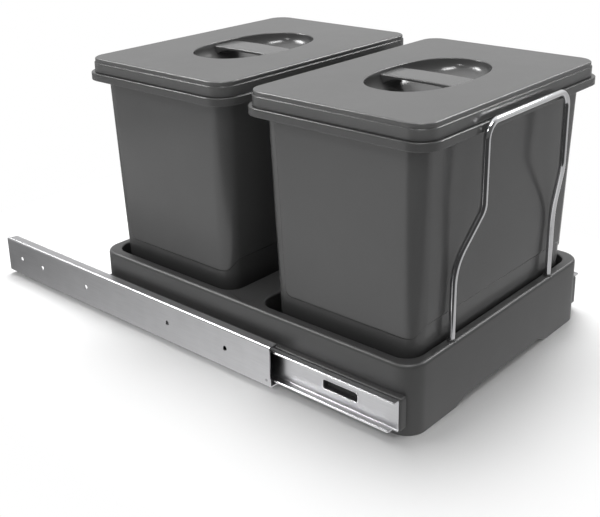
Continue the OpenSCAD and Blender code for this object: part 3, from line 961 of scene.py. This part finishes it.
@dataclass(frozen=True)
class Bin:
    """Tapered waste bin: raised wall panels over a plainer skirt, and a wide rim that turns down.

    The steps are the distances of the mesh's lines from a panel's edge, dense where the panel ends.
    """

    place: str
    middle_y: float
    width: float = 322.0
    length: float = 215.5
    floor_z: float = 10.5
    top: float = 281.0
    rim_h: float = 8.3
    rim_r: float = 24.0
    rim_from_z: float = 277.0
    rim_fold_r: float = 0.8
    rim_tip_r: float = 0.5
    rim_top_r: float = 1.0
    mouth_r: float = 1.2
    wall_r: float = 18.0
    wall: float = 2.0
    floor_t: float = 2.5
    floor_r: float = 3.0
    floor_hub: float = 10.0
    panel_t: float = 1.0
    foot_r: float = 4.0
    foot_to_z: float = 18.0
    draft_deg: float = 1.5
    inset_at: Pair = (73.0, 19.7)
    side_edge_z: float = 87.0
    front_edge_z: float = 99.0
    front_rise_deg: Pair = (30.0, 90.0)
    back_rise_deg: Pair = (37.5, 52.5)
    shifted_z: tuple[float, ...] = (20.0, 70.0, 120.0, 220.0)
    panel_corner_r: float = 7.0
    edge_half: float = 0.8
    far_inside: float = 60.0
    corner_steps: int = 16
    foot_steps: int = 5
    rim_steps: int = 4
    front_shares: tuple[float, int] = (0.93, 15)
    edge_steps: tuple[float, ...] = (0.1, 0.4, 0.8, 1.2, 1.5, 2.0, 2.8, 3.8, 4.8, 6.0, 7.2, 8.6, 11.0)
    side_steps: tuple[float, ...] = (16, 26, 40, 58, 80, 102, 124, 134)
    back_steps: tuple[float, ...] = (18, 30, 50, 80, 110)
    below_steps: tuple[float, ...] = (-37, -22, -11, -5, -2, -1.2, -0.8, -0.4, 0)
    above_steps: tuple[float, ...] = (0.4, 0.8, 1.2, 2, 3, 4, 5.2, 6.6, 8, 11)
    panel_steps: tuple[float, ...] = (17, 28, 53, 93, 133, 168, 183, 189)

    def _inset(self, z: float | np.ndarray) -> float | np.ndarray:
        """How far the wall lies inside the rim at a height: the draft's slope from one known height."""
        known_z, known = self.inset_at
        return known - (z - known_z) * math.tan(math.radians(self.draft_deg))

    def _stations(self) -> tuple[Stations, np.ndarray, np.ndarray]:
        """Stations round the wall, dense where a panel ends.

        Returns:
            The stations, each one's distance inside the nearest upright panel edge, and the height of the
            panel's lower edge there.
        """
        side_half = self.length / 2 - self.inset_at[1] - self.wall_r
        back_half = self.width / 2 - self.inset_at[1] - self.wall_r
        right = np.sort(1 - np.array(self.edge_steps + self.side_steps) / side_half)
        back = 1 - np.array(self.edge_steps + self.back_steps) / back_half
        sides = [right, np.sort(np.concatenate([back, -back])), -right[::-1], spread(*self.front_shares)]
        where = Stations.around(self.corner_steps, sides)
        corner = where.at_corner
        on_side = (np.abs(where.nx) == 1) & ~corner
        on_back = (where.ny == 1) & ~corner
        back_corner = corner & (where.fy == 1)
        front_corner = corner & (where.fy == -1)
        angle = np.arctan2(np.abs(where.ny), np.abs(where.nx))
        arc = self.wall_r * np.minimum(angle, QUARTER - angle)
        inside = np.select(
            [on_side, on_back, back_corner],
            [(1 - where.fy) * side_half - self.edge_half,
             (1 - np.abs(where.fx)) * back_half - self.edge_half, -self.edge_half - arc],
            self.far_inside,
        )
        rises = (self.front_rise_deg, self.back_rise_deg)
        front_rise, back_rise = (ease((np.degrees(angle) - low) / (high - low)) for low, high in rises)
        level = np.zeros_like(angle)
        rise = np.select([on_side, front_corner, back_corner], [level, front_rise, back_rise], 1.0)
        return where, inside, self.side_edge_z + (self.front_edge_z - self.side_edge_z) * rise

    def _raised(self, inside: np.ndarray, above: np.ndarray) -> np.ndarray:
        """How much of the panel's thickness stands out at each place.

        The panel's outline is where the smaller of two distances is zero, with a quarter circle at its lower
        corners, and the step is a smooth one across it.

        Args:
            inside: distance inside the upright edge, for each station.
            above: distance above the lower edge, for each row.

        Returns:
            Shares from 0 to 1, as (row, station).
        """
        a, b = np.broadcast_arrays(inside[None, :], above[:, None])
        r = self.panel_corner_r
        in_corner = (a < r) & (b < r)
        distance = np.where(in_corner, r - np.hypot(r - a, r - b), np.minimum(a, b))
        return ease((distance + self.edge_half) / (2 * self.edge_half))

    def _line(self) -> tuple[np.ndarray, int]:
        """Profile from the floor's middle up the outer wall, over the rim and down inside.

        Returns:
            Inset, height and corner radius of each point, and how many points lie on the outer wall.
        """
        hub = self.length / 2 - self.floor_hub
        plate_z, tip_z, floor_top = self.top - self.wall, self.top - self.rim_h, self.floor_z + self.floor_t
        inner = self.panel_t + self.wall
        inner_r, fold_r = self.wall_r - inner, self.rim_r - self.wall
        foot = rounded(
            [(hub, self.floor_z, 0, 0), (self._inset(self.floor_z), self.floor_z, self.wall_r, self.foot_r),
             (self._inset(self.foot_to_z), self.foot_to_z, self.wall_r, 0)],
            self.foot_steps,
        )
        wall_z = self.side_edge_z + np.array(self.below_steps + self.above_steps + self.panel_steps)
        wall = np.stack([self._inset(wall_z), wall_z, np.full_like(wall_z, self.wall_r)], axis=-1)
        rim = rounded(
            [(self._inset(self.rim_from_z), self.rim_from_z, self.wall_r, 0),
             (self._inset(plate_z), plate_z, self.wall_r, self.rim_fold_r),
             (self.wall, plate_z, fold_r, self.rim_fold_r), (self.wall, tip_z, fold_r, self.rim_tip_r),
             (0, tip_z, self.rim_r, self.rim_fold_r), (0, self.top, self.rim_r, self.rim_top_r),
             (self._inset(self.top) + inner, self.top, inner_r, self.mouth_r),
             (self._inset(self.floor_z) + inner, floor_top, inner_r, self.floor_r), (hub, floor_top, 0, 0)],
            self.rim_steps,
        )
        # The rim's first two points still lie on the wall.
        return np.concatenate([foot, wall, rim]), len(foot) + len(wall) + 2

    def build(self, finish: MouldedPlastic) -> None:
        """Builds the bin and puts it on its own body.

        Its rings follow the profile. On the outer wall they are shifted up to the panels' lower edge, and
        are sunk where no panel stands out.

        Args:
            finish: the bin's plastic.
        """
        where, inside, edge_z = self._stations()
        line, outer_count = self._line()
        inset, z, radius = line.T
        points = where.rings(self.width - 2 * inset, self.length - 2 * inset, radius, z)
        outer = (np.arange(len(line)) < outer_count) & (np.arange(len(line)) > 0)
        moves = np.interp(z, self.shifted_z, [0, 1, 1, 0]) * outer
        shift = moves[:, None] * (edge_z - self.side_edge_z)
        above = np.where(outer, z - self.side_edge_z, self.far_inside)
        sunk = (1 - self._raised(inside, above)) * self.panel_t * outer[:, None]
        out = shift * math.tan(math.radians(self.draft_deg)) - sunk
        points[..., 0] += out * where.nx
        points[..., 1] += out * where.ny + self.middle_y
        points[..., 2] += shift
        made = Skin().grid(capped(points)).piece(f"bin_{self.place}_moulding", finish.material())
        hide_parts(f"bin_{self.place}")
        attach(made, f"{self.place}_bin")


@dataclass(frozen=True)
class Lid:
    """Lift-off lid: a flat top over a slightly wider skirt, a finger bowl and an arched bridge across it.

    Heights in its methods are measured from the lid's top.
    """

    place: str
    middle_y: float
    width: float = 314.0
    length: float = 207.5
    top: float = 296.5
    height: float = 15.5
    corner_r: float = 20.0
    edge_r: float = 2.0
    land: float = 3.0
    wall: float = 2.2
    wall_r: float = 1.0
    band_h: float = 5.0
    band_in: float = 1.1
    skirt_t: float = 3.3
    skirt_r: float = 0.7
    inner_r: float = 0.4
    plug_inset: float = 14.05
    plug_r: float = 15.2
    plug_h: float = 8.0
    plug_end_r: float = 0.6
    plug_land: float = 2.0
    bowl_w: float = 160.0
    bowl_l: float = 94.0
    bowl_h: float = 28.0
    bowl_power: float = 2.35
    bowl_depth_power: float = 0.9
    bowl_under: float = 0.2
    lip_r: float = 1.6
    bridge_w: float = 38.0
    bridge_t: float = 3.0
    bridge_drop: float = 3.0
    bridge_sag: float = 0.8
    bridge_root: float = 12.0
    bridge_bite: float = 0.6
    bridge_edge: float = 1.3
    side_shares: tuple[float, int] = (0.96, 25)
    corner_steps: int = 12
    edge_steps: int = 4
    bowl_steps: int = 16
    lip_steps: int = 5
    bridge_steps: int = 40
    bridge_face_shares: tuple[float, int] = (0.9, 7)
    bridge_corner_steps: int = 6

    def _bowl(self, where: Stations, grow: np.ndarray, share: np.ndarray, z: np.ndarray) -> np.ndarray:
        """Rings of the bowl: a superellipse, with each station at the angle it has on the lid's outline.

        Args:
            where: the stations round the lid.
            grow: how much each ring stands outside the bowl's outline.
            share: each ring's share of that outline.
            z: each ring's height.

        Returns:
            Points as (ring, station, 3).
        """
        outline = where.rings(*(np.array([v]) for v in (self.width, self.length, self.corner_r, 0.0)))[0]
        t = np.arctan2(outline[:, 1] / self.bowl_l, outline[:, 0] / self.bowl_w)
        c, s = (np.sign(part) * np.abs(part) ** (2 / self.bowl_power) for part in (np.cos(t), np.sin(t)))
        grow, share, z = (np.asarray(v, float)[:, None] for v in (grow, share, z))
        x = (self.bowl_w / 2 + grow) * share * c
        y = (self.bowl_l / 2 + grow) * share * s
        return np.stack(np.broadcast_arrays(x, y, z), axis=-1)

    def _shell(self) -> np.ndarray:
        """One grid from the bowl's middle over the top, down the edge, round the plug and under the bowl.

        The bowl's depth is the sine of the angle whose cosine is the share of its outline, to a power.

        Returns:
            Points as (ring, station, 3).
        """
        where = Stations.around(self.corner_steps, [spread(*self.side_shares)] * 4)
        a = np.linspace(QUARTER, 0.0, self.bowl_steps + 1)
        b = np.linspace(0.0, QUARTER, self.lip_steps + 1)[1:]
        deep, lip, wall = self.bowl_h, self.lip_r, self.wall
        fall = np.abs(np.sin(a)) ** self.bowl_depth_power
        bowl = self._bowl(where, np.zeros_like(a), np.cos(a), -lip - (deep - lip) * fall)
        lip_rings = self._bowl(where, lip * (1 - np.cos(b)), np.ones_like(b), -lip * (1 - np.sin(b)))
        guard_ring = self._bowl(where, np.array([lip + GUARD]), np.ones(1), np.zeros(1))
        under_z = -wall - (deep - wall * self.bowl_under) * fall[::-1]
        under = self._bowl(where, np.full_like(a, wall), np.cos(a)[::-1], under_z)
        flat_in = self.band_in + self.edge_r + self.land
        plug, plug_z, plug_in_r = self.plug_inset, -self.height - self.plug_h, self.plug_r - wall
        corner = self.corner_r
        edge = rounded(
            [(flat_in, 0, corner - flat_in, 0), (self.band_in, 0, corner - self.band_in, self.edge_r),
             (self.band_in, -self.band_h, corner - self.band_in, self.inner_r),
             (0, -self.band_h, corner, self.skirt_r), (0, -self.height, corner, self.skirt_r),
             (self.skirt_t, -self.height, corner - self.skirt_t, self.inner_r),
             (self.skirt_t, -wall, corner - self.skirt_t, self.wall_r),
             (plug, -wall, self.plug_r, self.wall_r), (plug, plug_z, self.plug_r, self.plug_end_r),
             (plug + wall, plug_z, plug_in_r, self.plug_end_r), (plug + wall, -wall, plug_in_r, self.wall_r),
             (plug + wall + self.plug_land, -wall, plug_in_r - self.plug_land, 0)],
            self.edge_steps,
        )
        inset, z, radius = edge.T
        rings = where.rings(self.width - 2 * inset, self.length - 2 * inset, radius, z)
        return np.concatenate([bowl, lip_rings, guard_ring, rings, under])

    def _bridge(self) -> np.ndarray:
        """Bridge: a rounded bar along Y, thicker by the fifth power of the share of the way to its roots.

        Returns:
            Points as (ring, station, 3).
        """
        reach = self.bowl_l / 2 + self.wall * self.bridge_bite
        y = spread(reach, self.bridge_steps + 1)
        share = np.abs(y) / reach
        half = (self.bridge_t + self.bridge_root * share**5)[:, None] / 2
        crown = (-self.bridge_drop - self.bridge_sag * share**2)[:, None]
        faces = [np.array([0.0]), spread(*self.bridge_face_shares)]
        where = Stations.around(self.bridge_corner_steps, faces * 2)
        edge = self.bridge_edge
        x = where.fx * (self.bridge_w / 2 - edge) + where.nx * edge
        z = crown - half + where.fy * (half - edge) + where.ny * edge
        return capped(np.stack(np.broadcast_arrays(x[None, :], y[:, None], z), axis=-1))

    def build(self, finish: MouldedPlastic) -> None:
        """Builds the lid and puts it on its own body.

        Args:
            finish: the lid's plastic, its grey made lighter than the bins' as painted sheen.
        """
        lift = np.array([0.0, self.middle_y, self.top])
        skin = Skin().grid(self._shell() + lift).grid(self._bridge() + lift)
        made = skin.piece(f"lid_{self.place}_moulding", finish.material())
        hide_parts(f"lid_{self.place}")
        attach(made, f"{self.place}_lid")


@dataclass(frozen=True)
class RailLips:
    """Rolled free edges of the drawer rails' flanges, and the rolled rim of each rail's window."""

    edge_x: float = 177.3
    edge_z: float = 15.75
    edge_r: float = 1.15
    end_round: float = 0.4
    upper_front: float = 9.9
    lower_front: float = 16.0
    rear: float = 449.5
    web_x: float = 170.2
    slide_z: float = 27.0
    window_y: float = 77.0
    window_l: float = 42.0
    window_h: float = 10.0
    window_r: float = 2.5
    rim_r: float = 0.55
    rim_gap: float = 0.3
    round_steps: int = 20
    corner_steps: int = 6
    side_shares: tuple[float, int] = (0.95, 5)

    def _edge(self, side: Side, up: int) -> np.ndarray:
        """Upper or lower edge: circles (r cos t, r sin t) along the rail.

        Args:
            side: the side of the unit.
            up: 1 for the upper edge, -1 for the lower one.

        Returns:
            Points as (place, step, 3).
        """
        t = full_turn(self.round_steps)
        front, small = self.upper_front if up > 0 else self.lower_front, self.edge_r - self.end_round
        y = np.array([front, front + self.end_round, self.rear - self.end_round, self.rear])[:, None]
        radius = np.array([small, self.edge_r, self.edge_r, small])[:, None]
        x = side.value * (self.edge_x + radius * np.cos(t))
        z = self.slide_z + up * self.edge_z + radius * np.sin(t)
        return capped(np.stack(np.broadcast_arrays(x, y, z), axis=-1))

    def _window_rim(self, side: Side) -> np.ndarray:
        """Rim: rounded rectangles round the window, grown by r cos t and r sin t off the web.

        Args:
            side: the side of the unit.

        Returns:
            Points as (step, station, 3).
        """
        t = full_turn(self.round_steps)
        grow, out = self.rim_gap + self.rim_r * np.cos(t), self.web_x + self.rim_r * np.sin(t)
        where = Stations.around(self.corner_steps, [spread(*self.side_shares)] * 4)
        rings = where.rings(self.window_l + 2 * grow, self.window_h + 2 * grow, self.window_r + grow, out)
        along, up, out = rings[..., 0], rings[..., 1], rings[..., 2]
        return np.stack([side.value * out, along + self.window_y, up + self.slide_z], axis=-1)

    def build(self, finish: Steel) -> None:
        """Builds the two edges and the window's rim of each drawer rail, and puts them on the pull-out body.

        Args:
            finish: the rails' zinc, given a lighter grey than the plate's as a painted highlight on a rolled
                edge.
        """
        material = finish.material()
        for side in Side:
            skin = Skin().grid(self._edge(side, 1)).grid(self._edge(side, -1))
            skin.grid(self._window_rim(side), loop_rows=True)
            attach(skin.piece(f"drawer_rail_lips_{side.word}", material), "pull_out")


@dataclass(frozen=True)
class Slides:
    """The slides' steel and plastic pieces and the screws, which keep their CAD shapes."""

    finishes: tuple[tuple[str, Steel], ...]

    def dress(self) -> None:
        """Puts each finish on the CAD nodes whose names start with its word, on both sides."""
        for node, finish in self.finishes:
            material = finish.material()
            for side in Side:
                name = f"{node}_{side.word}"
                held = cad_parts[name]
                held.data.materials.clear()
                held.data.materials.append(material)
                LOG.info("%s: dressed as %s", name, finish.name)


@dataclass(frozen=True)
class Lamp:
    """An area lamp that looks at the unit."""

    name: str
    place: Triple
    size: Pair
    power: float
    lights_surfaces: bool = True
    seen_in_gloss: bool = True

    def add(self, target: Vector) -> None:
        """Adds the lamp, turned to a target.

        Args:
            target: the point that it looks at.
        """
        data = bpy.data.lights.new(self.name, "AREA")
        data.shape = "RECTANGLE"
        data.size, data.size_y = self.size
        data.energy = self.power
        lamp = linked(bpy.data.objects.new(self.name, data))
        lamp.location = self.place
        lamp.visible_diffuse = self.lights_surfaces
        lamp.visible_glossy = self.seen_in_gloss
        lamp.rotation_euler = (target - Vector(self.place)).to_track_quat("-Z", "Y").to_euler()


@dataclass(frozen=True)
class Studio:
    """White floor and surround, soft lamps and the camera.

    The shade is a dark wedge that only reflections show: it starts at a point on the floor and opens one
    way. A pair named reach, height, x or y is where a change starts and where it ends; the sky's shade goes
    by the cosine of the angle from the wedge's way.
    """

    camera_place: Triple = (-0.800, -0.732, 0.5215)
    yaw_deg: float = 48.43
    pitch_deg: float = 19.65
    roll_deg: float = 1.1
    focal_px: float = 989.0
    shift: Pair = (0.0, -0.12)
    clip: Pair = (0.01, 100.0)
    shade_way: Triple = (-0.7071, -0.7071, 0.0)
    sky_height: Pair = (0.1, 0.6)
    sky_low: float = 208.0
    sky_high: float = 245.0
    sky_shade: float = 90.0
    sky_shade_reach: Pair = (-0.15, 0.35)
    sky_light: float = 0.4
    floor_size: float = 30.0
    floor_colour: tuple[float, float, float, float] = (0.93, 0.93, 0.93, 1.0)
    unit_half: Triple = (0.182, 0.31, 1.0)
    fade_reach: Pair = (0.0, 0.2)
    far_grey: float = 205.0
    far_reach: Pair = (0.8, 0.86)
    rear_grey: float = 150.0
    rear_x: Pair = (-0.36, -0.28)
    rear_y: Pair = (-0.15, 0.35)
    front_grey: float = 185.0
    front_y: Pair = (-0.25, -0.4)
    shade_grey: float = 60.0
    shade_from: Triple = (-0.22, -0.36, 0.0)
    shade_reach: Pair = (0.15, 0.5)
    lamp_target: Triple = (0.0, -0.05, 0.15)
    lamps: tuple[Lamp, ...] = (
        Lamp("overhead", (0.6, 0.55, 2.4), (2.0, 1.8), 82.0, seen_in_gloss=False),
        Lamp("key", (-2.0, -0.2, 2.0), (0.35, 0.35), 8.0),
        Lamp("edge_left", (-0.9, 1.6, 1.9), (1.0, 0.5), 38.0, lights_surfaces=False),
        Lamp("edge_front", (1.8, -0.9, 1.7), (1.0, 0.5), 28.0, lights_surfaces=False),
        Lamp("edge_corner", (-0.5, -0.75, 2.4), (1.0, 0.5), 34.0, lights_surfaces=False),
    )

    def _surround(self) -> None:
        """World: white to the camera, a grey sky in reflections, and a soft white light otherwise."""
        world = bpy.data.worlds.new("surround")
        world.use_nodes = True
        bpy.context.scene.world = world
        graph = Graph(world.node_tree)
        way = graph.node("ShaderNodeTexCoord", output="Generated")
        height = graph.part(way, "Z").over(*self.sky_height)
        behind = graph.mix(height, grey(self.sky_low), grey(self.sky_high))
        ahead = graph.measure("DOT_PRODUCT", way, self.shade_way)
        sky = graph.mix(ahead.over(*self.sky_shade_reach), behind, grey(self.sky_shade))
        light = graph.glow("ShaderNodeBackground", grey(WHITE), self.sky_light)
        mirrored = graph.glow("ShaderNodeBackground", sky)
        white = graph.glow("ShaderNodeBackground", grey(WHITE))
        unseen = graph.either(graph.is_ray("Glossy"), light, mirrored)
        graph.close(graph.either(graph.is_ray("Camera"), unseen, white), "ShaderNodeOutputWorld")

    def _mirrored_floor(self, graph: Graph, point: Value) -> Value:
        """Colour in reflections: white by the unit, greyer far off, at the rear left, in front and in shade.

        Args:
            graph: the floor material's graph.
            point: the point on the floor.

        Returns:
            The colour.
        """
        x, y = graph.part(point, "X"), graph.part(point, "Y")
        way = graph.vector("NORMALIZE", graph.vector("SUBTRACT", point, self.shade_from))
        far = graph.measure("LENGTH", point).over(*self.far_reach)
        near = graph.mix(far, grey(WHITE), grey(self.far_grey))
        rear = graph.mix(y.over(*self.rear_y) * x.over(*self.rear_x), near, grey(self.rear_grey))
        front = graph.mix(y.over(*self.front_y), rear, grey(self.front_grey))
        ahead = graph.measure("DOT_PRODUCT", way, self.shade_way)
        return graph.mix(ahead.over(*self.shade_reach), front, grey(self.shade_grey))

    def _floor(self) -> None:
        """Floor: a large sheet that takes shadows, and is plain white for the camera away from the unit."""
        half = self.floor_size / 2
        mesh = bpy.data.meshes.new("floor")
        corners = [(-half, -half, 0.0), (half, -half, 0.0), (half, half, 0.0), (-half, half, 0.0)]
        mesh.from_pydata(corners, [], [(0, 1, 2, 3)])
        material, graph = material_graph("floor_white")
        point = graph.node("ShaderNodeTexCoord", output="Object")
        beyond = graph.vector("SUBTRACT", graph.vector("ABSOLUTE", point), self.unit_half)
        gap = graph.measure("LENGTH", graph.vector("MAXIMUM", beyond, (0.0, 0.0, 0.0)))
        sheet = graph.node("ShaderNodeBsdfDiffuse", {}, {"Color": self.floor_colour})
        white = graph.glow("ShaderNodeEmission", grey(WHITE))
        ground = graph.either(graph.is_ray("Camera") * gap.over(*self.fade_reach), sheet, white)
        mirrored = graph.glow("ShaderNodeEmission", self._mirrored_floor(graph, point))
        graph.close(graph.either(graph.is_ray("Glossy"), ground, mirrored))
        mesh.materials.append(material)
        floor = linked(bpy.data.objects.new("floor", mesh))

    def _camera(self) -> None:
        """Camera: its lens from the focal length in pixels, and its aim from yaw and pitch."""
        data = bpy.data.cameras.new("camera")
        data.sensor_width = SENSOR_MM
        data.lens = self.focal_px / IMAGE_WIDTH_PX * SENSOR_MM
        data.shift_x, data.shift_y = self.shift
        data.clip_start, data.clip_end = self.clip
        camera = linked(bpy.data.objects.new("camera", data))
        yaw, pitch = math.radians(self.yaw_deg), math.radians(self.pitch_deg)
        aim = Vector((math.sin(yaw) * math.cos(pitch), math.cos(yaw) * math.cos(pitch), -math.sin(pitch)))
        roll = Quaternion((0.0, 0.0, 1.0), -math.radians(self.roll_deg))
        camera.location = self.camera_place
        camera.rotation_euler = (aim.to_track_quat("-Z", "Y") @ roll).to_euler()
        bpy.context.scene.camera = camera

    def build(self) -> None:
        """Sets the studio up."""
        bpy.context.scene.view_settings.view_transform = "Standard"
        self._surround()
        self._floor()
        self._camera()
        for lamp in self.lamps:
            lamp.add(Vector(self.lamp_target))


def main() -> None:
    logging.basicConfig(level=logging.INFO, format="%(name)s: %(message)s")
    Studio().build()
    Tray().build(MouldedPlastic("tray_grey", 71.0, roughness=0.42, grain_mm=0.7, grain_depth_mm=0.006))
    drawn = (1.0, 1.0, 0.2)
    chrome = Steel("bright_chrome", 232.0, 0.1, drawn, 500.0, streak_depth_mm=0.001, variation=0.03)
    WirePull().build(chrome)
    plastic = MouldedPlastic("bin_grey", 77.0, roughness=0.2, grain_mm=0.8, grain_depth_mm=0.002)
    # Painted sheen: the lids' grey is set lighter than the bins' to stand in for the sheen that their tops
    # catch from above.
    matte = MouldedPlastic("lid_grey_painted_sheen", 89.0, roughness=0.42, grain_mm=0.6, grain_depth_mm=0.006, polish=0.2)
    for place, middle_y in BIN_MIDDLES.items():
        Bin(place, middle_y).build(plastic)
        Lid(place, middle_y).build(matte)
    brushed = (1.0, 0.03, 1.0)
    black = Steel("buffer_black", 52.0, 0.5, streak_waves=1200.0, metallic=0.0, tint=(1.0, 1.0, 1.0))
    zinc = Steel("zinc_plate", 192.0, 0.3, brushed, streak_depth_mm=0.0003, variation=0.04)
    # Partly painted highlight: the rolled edges take the rails' zinc at a lighter grey than the plate's, on
    # top of their real rounding and lower roughness.
    RailLips().build(Steel("rolled_zinc_painted_highlight", 235.0, 0.16, brushed, streak_depth_mm=0.0003, variation=0.03))
    Slides(
        (
            ("cabinet_rail", zinc),
            ("drawer_rail", zinc),
            ("ball_cage", Steel("cage_plate", 150.0, 0.4, brushed, streak_waves=700.0)),
            ("balls", Steel("ball_bright", 215.0, 0.12, streak_depth_mm=0.0005, variation=0.03)),
            ("stop_rivet", Steel("rivet_zinc", 150.0, 0.35)),
            ("rail_screws", Steel("screw_zinc", 170.0, 0.3)),
            ("leg_screw", Steel("leg_screw_zinc", 170.0, 0.3)),
            ("rear_buffer", black),
        )
    ).dress()


if __name__ == "__main__":
    main()
